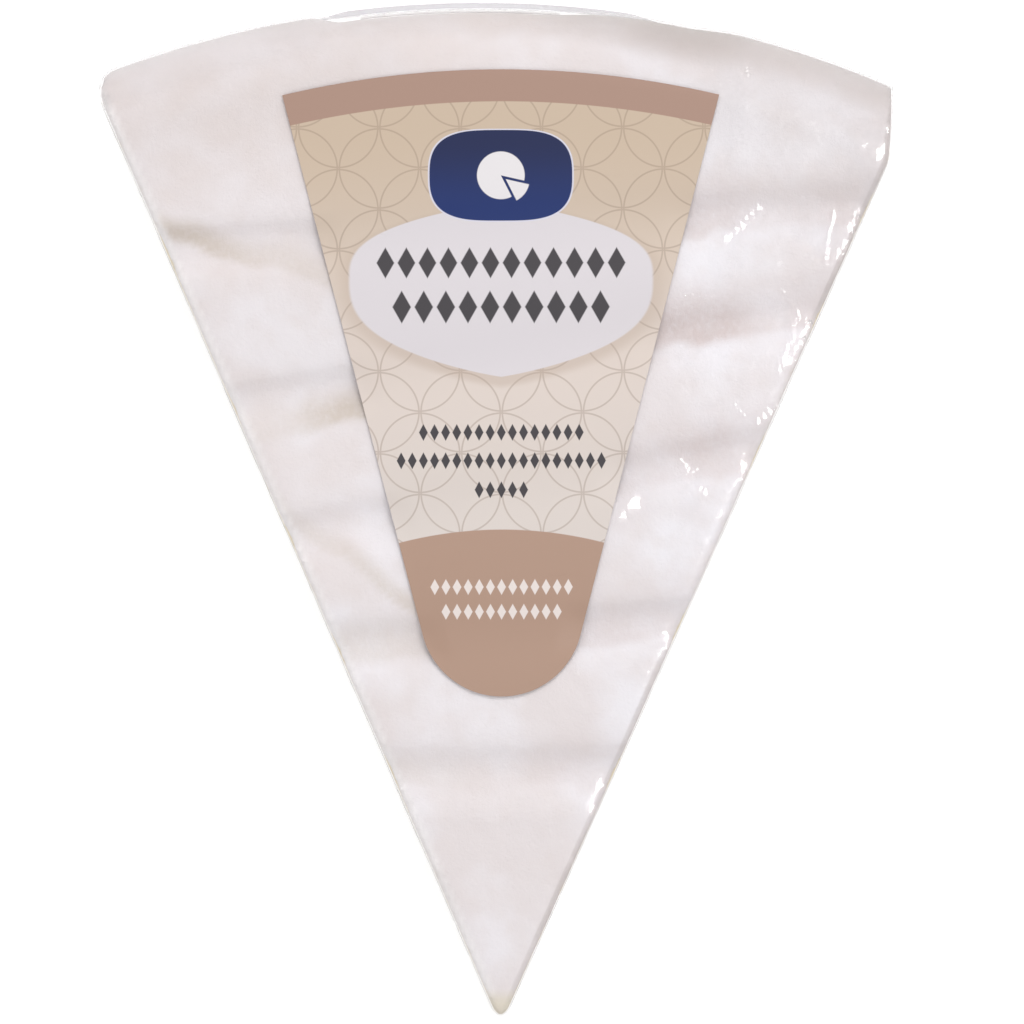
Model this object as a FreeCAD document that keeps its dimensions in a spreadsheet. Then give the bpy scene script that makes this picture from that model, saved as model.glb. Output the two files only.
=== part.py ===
"""A wedge of soft-ripened cheese, wrapped in clear film with a paper label on top.

The wedge lies on its underside, with +Z up. Its rind arc faces +Y and its tip points
to -Y. Sizes are in millimetres. While it is built, the axis of the whole wheel is the
Z axis; the finished pieces are then moved so that the origin is at the middle of the
wrapped wedge's footprint.

Three nodes are made:
  cheese  the wedge itself, cut from a wheel and marked by the racks it ripened on
  film    a tight hollow skin with a sealed fin round the rim and a folded hem below
  label   a keystone of paper with a round end, lying on the film's waves
"""
import FreeCAD, Part
import math
import os
import Sketcher

SIZES = (
    ("WheelRadius", 117.8, "whole wheel, axis to the fullest part of the rim"),
    ("WheelThickness", 31.1, "flat underside to the highest part of the top"),
    ("TopShoulder", 7.5, "rounding of the wheel's upper corner"),
    ("FootShoulder", 5.5, "rounding of the wheel's lower corner"),
    ("CutAngle", 47.5, "angle between the two knife cuts"),
    ("TipAcross", 2.3, "the cuts meet this far to the right of the wheel's axis"),
    ("TipForward", 3.4, "and this far from the axis towards the rim"),
    ("TipRadius", 0.6, "blunting of the tip"),
    ("LeftCornerRun", 1.8, "length of cut face lost to the pressed left corner"),
    ("LeftCornerTurn", 45.0, "turn of the left corner away from the cut face"),
    ("RightCornerRun", 6.8, "length of cut face lost to the pressed right corner"),
    ("RightCornerTurn", 21.0, "turn of the right corner away from the cut face"),
    ("RackInset", 25.0, "rim to the first rack mark, along the middle of the wedge"),
    ("RackPitch", 15.3, "from one rack mark to the next"),
    ("RackWidth", 9.2, "width of one rack mark"),
    ("RackDepth", 1.1, "depth of a rack mark in the cheese"),
    ("TipDroop", 0.9, "fall of the top towards the tip"),
    ("DroopLength", 45.0, "length of the top, from the tip, that falls"),
    ("CrownTrim", 0.15, "top between rack marks, below the plain wheel's top"),
    ("FilmGap", 0.15, "clearance between cheese and film"),
    ("FilmWall", 0.25, "thickness of the film"),
    ("FilmDip", 0.6, "depth of the film over a rack mark"),
    ("SealProud", 0.7, "width of the sealed fin beyond the film"),
    ("SealThickness", 0.5, "thickness of the sealed fin"),
    ("SealHeight", 17.0, "height of the sealed fin above the underside"),
    ("SealAngle", 20.0, "part of the rim that the sealed fin runs round"),
    ("HemThickness", 0.45, "folded film round the underside"),
    ("HemWidth", 13.0, "how far the folds reach in from the edges"),
    ("HemStep", 0.2, "from the folds up to the single film inside them"),
    ("LabelLength", 58.6, "centre of the label's round end to its upper corners"),
    ("LabelEndRadius", 9.35, "the label's round end"),
    ("LabelSideAngle", 14.25, "lean of each side of the label"),
    ("LabelCrown", 2.9, "rise of the label's upper edge above its corners"),
    ("LabelAhead", 46.3, "tip of the cheese to the centre of the label's round end"),
    ("LabelAcross", 0.2, "shift of that centre from the middle of the wedge"),
    ("LabelTurn", 0.9, "the label is stuck on this far askew"),
    ("LabelPaper", 0.15, "thickness of the label"),
    ("LabelGap", 0.1, "glue between film and label"),
)

# Every rack bar lay a little askew. From the rim inwards: its run to the rim, per mm
# to the right.
RACK_SLANTS = (0.07, 0.17, 0.19, 0.08, 0.02)

HALF = "(Sizes.CutAngle / 2)"
INNER_GROW = "Sizes.FilmGap"
OUTER_GROW = "(Sizes.FilmGap + Sizes.FilmWall)"
CHEESE_BASE = "(Sizes.HemThickness + Sizes.FilmGap)"
CHEESE_TALL = "Sizes.WheelThickness"
INNER_TALL = "(Sizes.WheelThickness + 2 * Sizes.FilmGap)"
OUTER_TALL = "(Sizes.HemThickness + Sizes.WheelThickness + 2 * Sizes.FilmGap + Sizes.FilmWall)"
START, END, CENTRE = 1, 2, 3
H_AXIS, V_AXIS = -1, -2


def make_sheet(doc):
    """Driving sizes: one named plain number in a row, with what it is beside it."""
    sheet = doc.addObject("Spreadsheet::Sheet", "Sizes")
    for row, (name, value, meaning) in enumerate(SIZES, start=1):
        sheet.set(f"A{row}", name)
        sheet.set(f"B{row}", str(value))
        sheet.setAlias(f"B{row}", name)
        sheet.set(f"C{row}", meaning)
    doc.recompute()
    return sheet


def new_sketch(body, name, role):
    """A sketch attached to one of the body's own origin planes."""
    plane = next(item for item in body.Origin.OriginFeatures if item.Role == role)
    sketch = body.newObject("Sketcher::SketchObject", name)
    sketch.AttachmentSupport = [(plane, "")]
    sketch.MapMode = "FlatFace"
    return sketch


def tie(sketch, *terms):
    """A constraint with no size, such as Coincident or Tangent."""
    sketch.addConstraint(Sketcher.Constraint(*terms))


def dimension(sketch, name, expression, *terms):
    """A constraint whose size follows the sheet."""
    index = sketch.addConstraint(Sketcher.Constraint(*terms))
    sketch.renameConstraint(index, name)
    sketch.setExpression(f"Constraints.{name}", expression)


def point(across, up):
    return FreeCAD.Vector(across, up, 0)


def read(sheet, *names):
    return [float(sheet.get(name)) for name in names]


# --- The wheel and the knife cuts -------------------------------------------


def wheel_section(body, sheet, grow, thickness):
    """Half-section of the wheel: flat base and top, upright rim and two round shoulders."""
    radius, tall, top, foot = read(sheet, "WheelRadius", "WheelThickness", "TopShoulder", "FootShoulder")
    sketch = new_sketch(body, "Section", "YZ_Plane")
    up = FreeCAD.Vector(0, 0, 1)
    foot_circle = Part.Circle(point(radius - foot, foot), up, foot)
    top_circle = Part.Circle(point(radius - top, tall - top), up, top)
    sketch.addGeometry(Part.LineSegment(point(0, 0), point(radius - foot, 0)))
    sketch.addGeometry(Part.ArcOfCircle(foot_circle, -math.pi / 2, 0))
    sketch.addGeometry(Part.LineSegment(point(radius, foot), point(radius, tall - top)))
    sketch.addGeometry(Part.ArcOfCircle(top_circle, 0, math.pi / 2))
    sketch.addGeometry(Part.LineSegment(point(radius - top, tall), point(0, tall)))
    sketch.addGeometry(Part.LineSegment(point(0, tall), point(0, 0)))
    for number in range(4):
        tie(sketch, "Tangent", number, END, number + 1, START)
    tie(sketch, "Coincident", 4, END, 5, START)
    tie(sketch, "Coincident", 5, END, 0, START)
    tie(sketch, "Coincident", 0, START, H_AXIS, START)
    tie(sketch, "Horizontal", 0)
    tie(sketch, "Horizontal", 4)
    tie(sketch, "Vertical", 5)
    dimension(sketch, "Rim", f"Sizes.WheelRadius + {grow}", "DistanceX", 2, START, radius)
    dimension(sketch, "Tall", thickness, "DistanceY", 5, END, 5, START, tall)
    dimension(sketch, "Foot", f"Sizes.FootShoulder + {grow}", "Radius", 1, foot)
    dimension(sketch, "Top", f"Sizes.TopShoulder + {grow}", "Radius", 3, top)
    return sketch


def side_reach(side):
    """Length of a cut, from where the cuts meet to the rim, on the left or right."""
    along = f"({side} * Sizes.TipAcross * sin({HALF}) + Sizes.TipForward * cos({HALF}))"
    offset = "Sizes.TipAcross^2 + Sizes.TipForward^2"
    return f"(sqrt({along}^2 + Sizes.WheelRadius^2 - ({offset})) - {along})"


def knife_sketch(body, sheet, grow):
    """What the knife takes away: everything round a wedge with a blunt tip."""
    names = ("WheelRadius", "CutAngle", "TipAcross", "TipForward", "TipRadius")
    radius, angle, across, forward, blunt = read(sheet, *names)
    left_turn, right_turn = read(sheet, "LeftCornerTurn", "RightCornerTurn")
    half = math.radians(angle / 2)
    outside = radius + 10
    centre = point(across, forward + blunt / math.sin(half))
    sketch = new_sketch(body, "Knife", "XY_Plane")
    circle = Part.Circle(centre, FreeCAD.Vector(0, 0, 1), blunt)
    tip = Part.ArcOfCircle(circle, math.pi + half, 2 * math.pi - half)
    left_foot, right_foot = tip.StartPoint, tip.EndPoint
    left_corner = left_foot + point(-math.sin(half), math.cos(half)) * radius * 0.93
    right_corner = right_foot + point(math.sin(half), math.cos(half)) * radius * 0.9
    left_lean = math.radians(90 + angle / 2 - left_turn)
    right_lean = math.radians(90 - angle / 2 + right_turn)
    left_end = point(left_corner.x + (outside - left_corner.y) / math.tan(left_lean), outside)
    right_end = point(right_corner.x + (outside - right_corner.y) / math.tan(right_lean), outside)
    sketch.addGeometry(tip)
    sketch.addGeometry(Part.LineSegment(left_foot, left_corner))
    sketch.addGeometry(Part.LineSegment(left_corner, left_end))
    sketch.addGeometry(Part.LineSegment(left_end, right_end))
    sketch.addGeometry(Part.LineSegment(right_corner, right_end))
    sketch.addGeometry(Part.LineSegment(right_foot, right_corner))
    sketch.addGeometry(Part.Circle(point(0, 0), FreeCAD.Vector(0, 0, 1), radius * 1.5))
    tie(sketch, "Tangent", 0, START, 1, START)
    tie(sketch, "Tangent", 0, END, 5, START)
    tie(sketch, "Coincident", 1, END, 2, START)
    tie(sketch, "Coincident", 2, END, 3, START)
    tie(sketch, "Coincident", 3, END, 4, END)
    tie(sketch, "Coincident", 4, START, 5, END)
    tie(sketch, "Horizontal", 3)
    tie(sketch, "Coincident", 6, CENTRE, H_AXIS, START)
    dimension(sketch, "Waste", "Sizes.WheelRadius * 1.5", "Radius", 6, radius * 1.5)
    tip_ahead = f"Sizes.TipForward + Sizes.TipRadius / sin({HALF})"
    dimension(sketch, "TipAcross", "Sizes.TipAcross", "DistanceX", 0, CENTRE, centre.x)
    dimension(sketch, "TipAhead", tip_ahead, "DistanceY", 0, CENTRE, centre.y)
    dimension(sketch, "TipRadius", f"Sizes.TipRadius + {grow}", "Radius", 0, blunt)
    dimension(sketch, "LeftCut", f"90 + {HALF}", "Angle", 1, math.pi / 2 + half)
    dimension(sketch, "RightCut", f"90 - {HALF}", "Angle", 5, math.pi / 2 - half)
    left_way = f"90 + {HALF} - Sizes.LeftCornerTurn"
    right_way = f"90 - {HALF} + Sizes.RightCornerTurn"
    dimension(sketch, "LeftPress", left_way, "Angle", 2, left_lean)
    dimension(sketch, "RightPress", right_way, "Angle", 4, right_lean)
    left_size = cut_length(-1, "Left", grow)
    right_size = cut_length(1, "Right", grow)
    dimension(sketch, "LeftLength", left_size, "Distance", 1, radius * 0.93)
    dimension(sketch, "RightLength", right_size, "Distance", 5, radius * 0.9)
    dimension(sketch, "Beyond", "Sizes.WheelRadius + 10", "DistanceY", 3, START, outside)
    return sketch


def cut_length(side, name, grow):
    """Straight part of a cut, from the blunt tip to the pressed corner."""
    blunt = f"Sizes.TipRadius / tan({HALF})"
    outset = f"{grow} * tan(Sizes.{name}CornerTurn / 2)"
    return f"{side_reach(side)} - Sizes.{name}CornerRun - {blunt} + {outset}"


def wedge_body(doc, sheet, name, grow, base, thickness):
    """A wheel turned from its half-section and cut to a wedge."""
    body = doc.addObject("PartDesign::Body", name)
    body.setExpression("Placement.Base.z", base)
    turned = body.newObject("PartDesign::Revolution", "Wheel")
    section = wheel_section(body, sheet, grow, thickness)
    turned.Profile = section
    turned.ReferenceAxis = (section, ["V_Axis"])
    turned.Angle = 360
    body.Tip = turned
    doc.recompute()
    knife = body.newObject("PartDesign::Pocket", "KnifeCut")
    knife.Profile = knife_sketch(body, sheet, grow)
    knife.Type = "ThroughAll"
    knife.Midplane = True
    body.Tip = knife
    doc.recompute()
    return body


# --- The top, marked by the racks -------------------------------------------


def rack_marks(sheet, across):
    """Rack marks along one line: each one's middle, and its reach back and ahead."""
    radius, inset, pitch = read(sheet, "WheelRadius", "RackInset", "RackPitch")
    width = read(sheet, "RackWidth")[0]
    middles = [
        radius - inset - pitch * number + slant * across
        for number, slant in enumerate(RACK_SLANTS)
    ]
    middles.sort()
    room = [middles[n + 1] - middles[n] for n in range(len(middles) - 1)]
    reach = [min(width, 0.96 * gap) / 2 for gap in [width * 2, *room, width * 2]]
    return list(zip(middles, reach[:-1], reach[1:]))


def top_fall(sheet, across, ahead, depth):
    """How far the marked top lies below the plain wheel's, at one place."""
    radius, trim, inset = read(sheet, "WheelRadius", "CrownTrim", "RackInset")
    droop, length, forward = read(sheet, "TipDroop", "DroopLength", "TipForward")
    sunk = max(0, 1 - (ahead - forward) / length)
    rising = max(0, ahead - (radius - inset / 2)) / inset
    fall = trim + droop * sunk**2 - 4 * trim * rising
    for middle, back, front in rack_marks(sheet, across):
        share = (ahead - middle) / (front if ahead > middle else back)
        if abs(share) < 1:
            fall += depth * (1 + math.cos(math.pi * share)) / 2
    return fall


def wave_stations(sheet, across):
    """Places along one line at which the marked top is worked out."""
    names = ("WheelRadius", "RackInset", "RackWidth", "TipForward")
    radius, inset, width, forward = read(sheet, *names)
    marks = rack_marks(sheet, across)
    first = marks[0][0] - marks[0][1]
    near = min(forward, first - width)
    stations = [near - 2 * inset, near - inset, near]
    stations += [first - (first - near) / 2**halving for halving in (1, 2, 3, 4)]
    for middle, back, front in marks:
        stations += [middle - back, middle - back / 2, middle]
        stations += [middle + front / 2, middle + front]
    return [*stations, radius - inset / 2, radius, radius + inset, radius + 2 * inset]


def wave_line(sheet, across, level, depth):
    """The marked top's line, from behind the tip to beyond the rim."""
    stations = wave_stations(sheet, across)
    curve = Part.BSplineCurve()
    curve.interpolate(
        Points=[
            FreeCAD.Vector(across, ahead, level - top_fall(sheet, across, ahead, depth))
            for ahead in stations
        ],
        Parameters=[float(number) for number in range(len(stations))],
    )
    return curve.toShape()


def wave_block(doc, sheet, name, level, depth):
    """Everything below the marked top at one level, across the whole wedge."""

    def outline(across):
        wave = wave_line(sheet, across, level, depth)
        near, far = wave.Vertexes[0].Point, wave.Vertexes[-1].Point
        feet = [FreeCAD.Vector(across, end.y, -level) for end in (far, near)]
        return Part.Wire([wave, *Part.makePolygon([far, *feet, near]).Edges])

    radius, angle = read(sheet, "WheelRadius", "CutAngle")
    side = radius * math.sin(math.radians(angle / 2)) * 1.1
    solid = doc.addObject("Part::Feature", name)
    solid.Shape = Part.makeLoft([outline(-side), outline(side)], True, True)
    return solid


def marked(doc, sheet, name, body, level, depth):
    """A wedge with its plain top brought down to the marked one."""
    wave = wave_block(doc, sheet, f"{name}Wave", level, depth)
    wedge = doc.addObject("Part::Common", name)
    wedge.Base = body
    wedge.Tool = wave
    return wedge


# --- The three pieces -------------------------------------------------------


def make_cheese(doc, sheet):
    """The wedge of cheese."""
    hem, gap, tall, depth = read(sheet, "HemThickness", "FilmGap", "WheelThickness", "RackDepth")
    body = wedge_body(doc, sheet, "CheeseBlank", "0", CHEESE_BASE, CHEESE_TALL)
    return marked(doc, sheet, "Cheese", body, hem + gap + tall, depth)


def film_top(sheet):
    """Level of the film's outer side between rack marks, before the marks' trim."""
    return sum(read(sheet, "HemThickness", "WheelThickness", "FilmGap", "FilmGap", "FilmWall"))


def add_seal(body, sheet):
    """The sealed fin, a low flange round the middle of the rim."""
    radius, gap, wall, proud = read(sheet, "WheelRadius", "FilmGap", "FilmWall", "SealProud")
    height, thickness = read(sheet, "SealHeight", "SealThickness")
    outer = radius + gap + wall
    sketch = new_sketch(body, "SealSection", "YZ_Plane")
    corners = [
        point(outer - 2 * proud, height),
        point(outer + proud, height),
        point(outer + proud, height + thickness),
        point(outer - 2 * proud, height + thickness),
    ]
    for number in range(4):
        sketch.addGeometry(Part.LineSegment(corners[number], corners[(number + 1) % 4]))
    for number in range(4):
        tie(sketch, "Coincident", number, END, (number + 1) % 4, START)
    for number in (0, 2):
        tie(sketch, "Horizontal", number)
        tie(sketch, "Vertical", number + 1)
    edge = "Sizes.WheelRadius + Sizes.FilmGap + Sizes.FilmWall + Sizes.SealProud"
    dimension(sketch, "Edge", edge, "DistanceX", 0, END, outer + proud)
    dimension(sketch, "Root", "3 * Sizes.SealProud", "DistanceX", 0, START, 0, END, 3 * proud)
    dimension(sketch, "Height", "Sizes.SealHeight", "DistanceY", 0, START, height)
    dimension(sketch, "Thick", "Sizes.SealThickness", "DistanceY", 1, START, 1, END, thickness)
    fin = body.newObject("PartDesign::Revolution", "SealFin")
    fin.Profile = sketch
    fin.ReferenceAxis = (sketch, ["V_Axis"])
    fin.Midplane = True
    fin.setExpression("Angle", "Sizes.SealAngle")
    body.Tip = fin
    doc = body.Document
    doc.recompute()


def add_hem(body, sheet):
    """The recess left inside the folds under the wedge."""
    names = ("WheelRadius", "CutAngle", "TipAcross", "TipForward", "HemWidth")
    radius, angle, across, forward, width = read(sheet, *names)
    half = math.radians(angle / 2)
    ahead = forward + width / math.sin(half)
    reach = radius - width
    sketch = new_sketch(body, "HemOpening", "XY_Plane")
    corner = point(across, ahead)
    drop = math.atan2(reach * 0.9, reach * 0.4)
    right = point(reach * math.cos(drop), reach * math.sin(drop))
    left = point(-right.x, right.y)
    circle = Part.Circle(point(0, 0), FreeCAD.Vector(0, 0, 1), reach)
    sketch.addGeometry(Part.LineSegment(corner, right))
    sketch.addGeometry(Part.ArcOfCircle(circle, drop, math.pi - drop))
    sketch.addGeometry(Part.LineSegment(left, corner))
    tie(sketch, "Coincident", 0, END, 1, START)
    tie(sketch, "Coincident", 1, END, 2, START)
    tie(sketch, "Coincident", 2, END, 0, START)
    tie(sketch, "Coincident", 1, CENTRE, H_AXIS, START)
    dimension(sketch, "Across", "Sizes.TipAcross", "DistanceX", 0, START, across)
    ahead_size = f"Sizes.TipForward + Sizes.HemWidth / sin({HALF})"
    dimension(sketch, "Ahead", ahead_size, "DistanceY", 0, START, ahead)
    dimension(sketch, "Rim", "Sizes.WheelRadius - Sizes.HemWidth", "Radius", 1, reach)
    dimension(sketch, "RightSide", f"90 - {HALF}", "Angle", 0, math.pi / 2 - half)
    dimension(sketch, "LeftSide", f"{HALF} - 90", "Angle", 2, half - math.pi / 2)
    recess = body.newObject("PartDesign::Pocket", "HemRecess")
    recess.Profile = sketch
    recess.Type = "Length"
    recess.Reversed = True
    recess.setExpression("Length", "Sizes.HemStep")
    body.Tip = recess
    body.Document.recompute()


def make_film(doc, sheet):
    """A tight skin: an outer wedge with its fin and hem, less the room for the cheese."""
    hem, dip, wall = read(sheet, "HemThickness", "FilmDip", "FilmWall")
    outer = wedge_body(doc, sheet, "FilmOutside", OUTER_GROW, "0", OUTER_TALL)
    add_seal(outer, sheet)
    add_hem(outer, sheet)
    inner = wedge_body(doc, sheet, "FilmInside", INNER_GROW, "Sizes.HemThickness", INNER_TALL)
    level = film_top(sheet)
    film = doc.addObject("Part::Cut", "Film")
    film.Base = marked(doc, sheet, "FilmSkin", outer, level, dip)
    film.Tool = marked(doc, sheet, "FilmRoom", inner, level - wall, dip)
    return film


def label_blank(doc, sheet):
    """The label's outline, a keystone with a round end, pushed up through the top."""
    names = ("LabelLength", "LabelEndRadius", "LabelSideAngle", "LabelCrown")
    length, end, lean_angle, crown = read(sheet, *names)
    lean = math.radians(lean_angle)
    wide = (end + length * math.sin(lean)) / math.cos(lean)
    body = doc.addObject("PartDesign::Body", "LabelBlank")
    body.setExpression("Placement.Base.x", "Sizes.TipAcross + Sizes.LabelAcross")
    body.setExpression("Placement.Base.y", "Sizes.TipForward + Sizes.LabelAhead")
    body.setExpression("Placement.Rotation.Angle", "Sizes.LabelTurn")
    sketch = new_sketch(body, "Keystone", "XY_Plane")
    circle = Part.Circle(point(0, 0), FreeCAD.Vector(0, 0, 1), end)
    round_end = Part.ArcOfCircle(circle, math.pi + lean, 2 * math.pi - lean)
    sketch.addGeometry(round_end)
    sketch.addGeometry(Part.LineSegment(round_end.EndPoint, point(wide, length)))
    sketch.addGeometry(Part.Arc(point(wide, length), point(0, length + crown), point(-wide, length)))
    sketch.addGeometry(Part.LineSegment(point(-wide, length), round_end.StartPoint))
    tie(sketch, "Coincident", 0, CENTRE, H_AXIS, START)
    tie(sketch, "Tangent", 0, END, 1, START)
    tie(sketch, "Coincident", 1, END, 2, START)
    tie(sketch, "Coincident", 2, END, 3, START)
    tie(sketch, "Tangent", 3, END, 0, START)
    tie(sketch, "Horizontal", 1, END, 3, START)
    dimension(sketch, "End", "Sizes.LabelEndRadius", "Radius", 0, end)
    dimension(sketch, "RightLean", "90 - Sizes.LabelSideAngle", "Angle", 1, math.pi / 2 - lean)
    dimension(sketch, "LeftLean", "Sizes.LabelSideAngle - 90", "Angle", 3, lean - math.pi / 2)
    dimension(sketch, "Length", "Sizes.LabelLength", "DistanceY", 1, END, length)
    half_wide = "(Sizes.LabelEndRadius + Sizes.LabelLength * sin(Sizes.LabelSideAngle))"
    half_wide += " / cos(Sizes.LabelSideAngle)"
    bow = f"(({half_wide})^2 + Sizes.LabelCrown^2) / (2 * Sizes.LabelCrown)"
    dimension(sketch, "Bow", bow, "Radius", 2, (wide**2 + crown**2) / (2 * crown))
    pad = body.newObject("PartDesign::Pad", "Blank")
    pad.Profile = sketch
    pad.setExpression("Length", "2 * Sizes.WheelThickness")
    body.Tip = pad
    doc.recompute()
    return body


def make_label(doc, sheet):
    """Paper lying evenly on the film's waves, cut to the keystone."""
    gap, paper, dip = read(sheet, "LabelGap", "LabelPaper", "FilmDip")
    level = film_top(sheet) + gap
    label = doc.addObject("Part::Cut", "Label")
    label.Base = marked(doc, sheet, "LabelFace", label_blank(doc, sheet), level + paper, dip)
    label.Tool = wave_block(doc, sheet, "LabelRoom", level, dip)
    return label


def check(doc):
    """Stop if any object of the document failed."""
    for item in doc.Objects:
        if "Invalid" in item.State or "Error" in item.State:
            raise RuntimeError(f"{item.Name} failed: {item.State}")


def main():
    """Build the pieces, centre them on the footprint and write one file for each."""
    doc = FreeCAD.newDocument("CheeseWedge")
    sheet = make_sheet(doc)
    pieces = {
        "cheese": make_cheese(doc, sheet),
        "film": make_film(doc, sheet),
        "label": make_label(doc, sheet),
    }
    doc.recompute()
    check(doc)
    bounds = pieces["film"].Shape.optimalBoundingBox()
    for piece in pieces.values():
        piece.Placement.Base = FreeCAD.Vector(-bounds.Center.x, -bounds.Center.y, -bounds.ZMin)
    doc.recompute()
    check(doc)
    os.makedirs("parts", exist_ok=True)
    for node, piece in pieces.items():
        piece.Label = node
        if piece.Shape.isNull() or not piece.Shape.isValid():
            raise RuntimeError(f"{node} has no valid shape")
        piece.Shape.exportStep(f"parts/{node}.step")
        box = piece.Shape.optimalBoundingBox()
        print(node, len(piece.Shape.Solids), round(piece.Shape.Volume, 1), box)


main()
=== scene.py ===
"""Looks for a wedge of soft-ripened cheese in clear film, with a keystone paper label.

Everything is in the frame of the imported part: the wedge lies flat, its rind arc faces +Y
and its tip points to -Y. Shapes are worked out in millimetres from the axis of the whole
wheel: X across, Y ahead to the rim and Z up from the floor.
"""

import math

import bmesh
import bpy
import numpy as np
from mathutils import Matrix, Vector
from mathutils.bvhtree import BVHTree


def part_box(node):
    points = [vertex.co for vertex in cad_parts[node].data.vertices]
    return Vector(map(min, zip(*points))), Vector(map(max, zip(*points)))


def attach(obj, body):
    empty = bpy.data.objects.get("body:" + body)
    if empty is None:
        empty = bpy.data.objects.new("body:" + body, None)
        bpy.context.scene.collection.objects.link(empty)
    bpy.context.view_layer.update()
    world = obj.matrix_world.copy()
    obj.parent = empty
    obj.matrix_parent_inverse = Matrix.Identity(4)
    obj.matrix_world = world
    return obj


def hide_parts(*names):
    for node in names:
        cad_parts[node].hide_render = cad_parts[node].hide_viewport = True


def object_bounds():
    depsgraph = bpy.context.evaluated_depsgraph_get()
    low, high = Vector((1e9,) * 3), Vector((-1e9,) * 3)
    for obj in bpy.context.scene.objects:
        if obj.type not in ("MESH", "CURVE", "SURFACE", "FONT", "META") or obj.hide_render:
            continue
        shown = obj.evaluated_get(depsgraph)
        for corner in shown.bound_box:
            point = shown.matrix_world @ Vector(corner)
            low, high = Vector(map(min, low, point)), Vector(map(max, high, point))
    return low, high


MM = 0.001

# Sizes of the wedge, in millimetres, as in the part's source.
HALF_ANGLE = math.radians(23.75)
WHEEL_RADIUS = 117.8
TOP_SHOULDER = 7.5
FOOT_SHOULDER = 5.5
APEX = np.array([2.3, 3.4])
TIP_FRONT = 3.89
AXIS_ACROSS = -1.094
RACK_INSET = 25.0
RACK_PITCH = 15.3
RACK_WIDTH = 9.2
RACK_SLANTS = (0.07, 0.17, 0.19, 0.08, 0.02)
RIGHT_CORNER_RUN = 6.8
RIGHT_CORNER_TURN = math.radians(21)
SEAL_HEIGHT = 17.0
SEAL_ANGLE = math.radians(20)
HEM_WIDTH = 13.0

# Each rack mark's painted shade, from the rim inwards: how dark it is by the left cut, by the
# label's left side and on the right; then its shift by the left cut and its lean away from it.
RACK_LOOKS = (
    (0.9, 0.45, 0.6, 3.0, -0.43),
    (0.25, 0.9, 1.0, -2.5, 0.0),
    (0.35, 0.6, 1.0, 3.5, -1.5),
    (0.35, 0.25, 0.6, 0.0, 0.0),
    (0.2, 0.2, 0.3, 0.0, 0.0),
)

# Where the marks' painted shade changes from left to right across the wedge, where it passes from
# the left cut to the label, and its crisp edge in shares of half a mark's width.
MARK_SIDES = (-12, 12)
MARK_BY_LABEL = (3, 11)
MARK_CRISP_EDGE = (-0.5, -0.2)

# The painted shade along the rim, a brown band: its strength, where round the wheel that changes
# and by how much, and where it fades inwards. Turns are in degrees to the right of straight ahead.
BAND_STRENGTH = 0.35
BAND_CHANGES = ((-14, -10, 0.15), (-1, 7, 0.4), (7, 10, 0.2), (12, 16, -0.35))
BAND_FADE = (5.5, -1.5)
# A broader, fainter painted shade near the rim and on its right.
RIM_TONE, RIM_TONE_FADE = 0.12, (17, 5)
RIGHT_TONE, RIGHT_TONE_FADE, RIGHT_TONE_TURN = 0.05, (20, 12), (5, 12)

# Slightly browner places beside the label: how much, from where ahead and from where across.
BROWNER = ((0.1, (64, 72), (-9, -15)), (0.1, (82, 88), (20, 26)))

# Painted shade at the right edge's brown end by the rim, and the thin line along the whole edge.
EDGE_SHADE, EDGE_SHADE_FADE, EDGE_SHADE_AHEAD = 0.28, (1.5, 0.6), (88, 98)
LINE_BY_RIM, LINE_PALER_END, LINE_BY_TIP = (74, 84), (98, 102), (48, 38)

# Painted sheen: lighter, cooler rind on the right and, up to some way ahead, on the left.
SHEEN_RIGHT = (-4, 20)
SHEEN_LEFT = (84, 80)

# The worn tip, ahead of the apex, and painted light along the left edge, in from the left cut.
TIP_END = (4.0, 2.0)
PAINTED_EDGE_LIGHT_FADE = (1.1, 0.2)

# How far cheese and film bulge out round the rim, where that changes, and where it starts
# on both sides of the seal's bead. The cheese lies closer to its solid behind the bead.
BULGE = 0.35
BULGE_CHANGES = ((-6, -10, 0.3), (11, 14, 0.45))
BULGE_STARTS = ((3, 8), (-8, -10))
BEHIND_BEAD = ((6, 3), (-9.5, -8))
SIDE_SWELL = 0.3

# How the film lies: off the cheese at its sides, closer on top, and off it over the marks.
FILM_OFF = 0.34
TOP_CLOSER = 0.2
RACK_SPAN = 0.5

# Small sizes of the film, its sealed fin and its flaps below.
FILM_EDGE_MARGIN = 0.02
FOOT_LEVEL = 0.22
FOLD_SLOPE = 0.32
BEAD_OUT = 0.22
BEAD_RADIUS = 0.25
FIN_THICKNESS = 0.3
FLAP_THICKNESS = 0.03
FLAP_STEP = 0.07

# Sizes of the label, in its own frame, which starts at the middle of its round end.
LABEL_START = np.array([2.1, 3.4 + 46.0])
LABEL_TURN = math.radians(0.5)
LABEL_LENGTH = 58.9
LABEL_END = 9.2
LABEL_SIDE = math.radians(14.5)
LABEL_CROWN = 2.9
LABEL_TOP_HALF = 24.6
LABEL_THICKNESS = 0.045
LABEL_OFF = 0.015

# The label's print, in the same frame. A rounded shape has a middle along the label, its
# reach sideways, ahead and back, and two powers that say how square it is.
PANEL_MIDDLE = 38.2
PANEL_REACH = (17.2, 8.5, 11.2)
PANEL_POWERS = (1.15, 2.8)
SHADOW_REACH = (17.9, 9.0, 11.8)
SHADOW_DROP = 0.5
BADGE_MIDDLE = 49.8
BADGE_REACH = (8.3, 5.3, 5.3)
BADGE_POWERS = (3.4, 2.8)
SLICE_RADIUS = 2.7
SLICE_AWAY = 0.7
SLICE_WAY = math.radians(-38)
SLICE_HALF_ANGLE = 0.44
RING_RADIUS = 4.6
RING_LINE = 0.09
BAND_START = 58.18
TAB_TOP = 9.7
TAB_BEND = 90.0
PRINT_BLUR = 0.05

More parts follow.
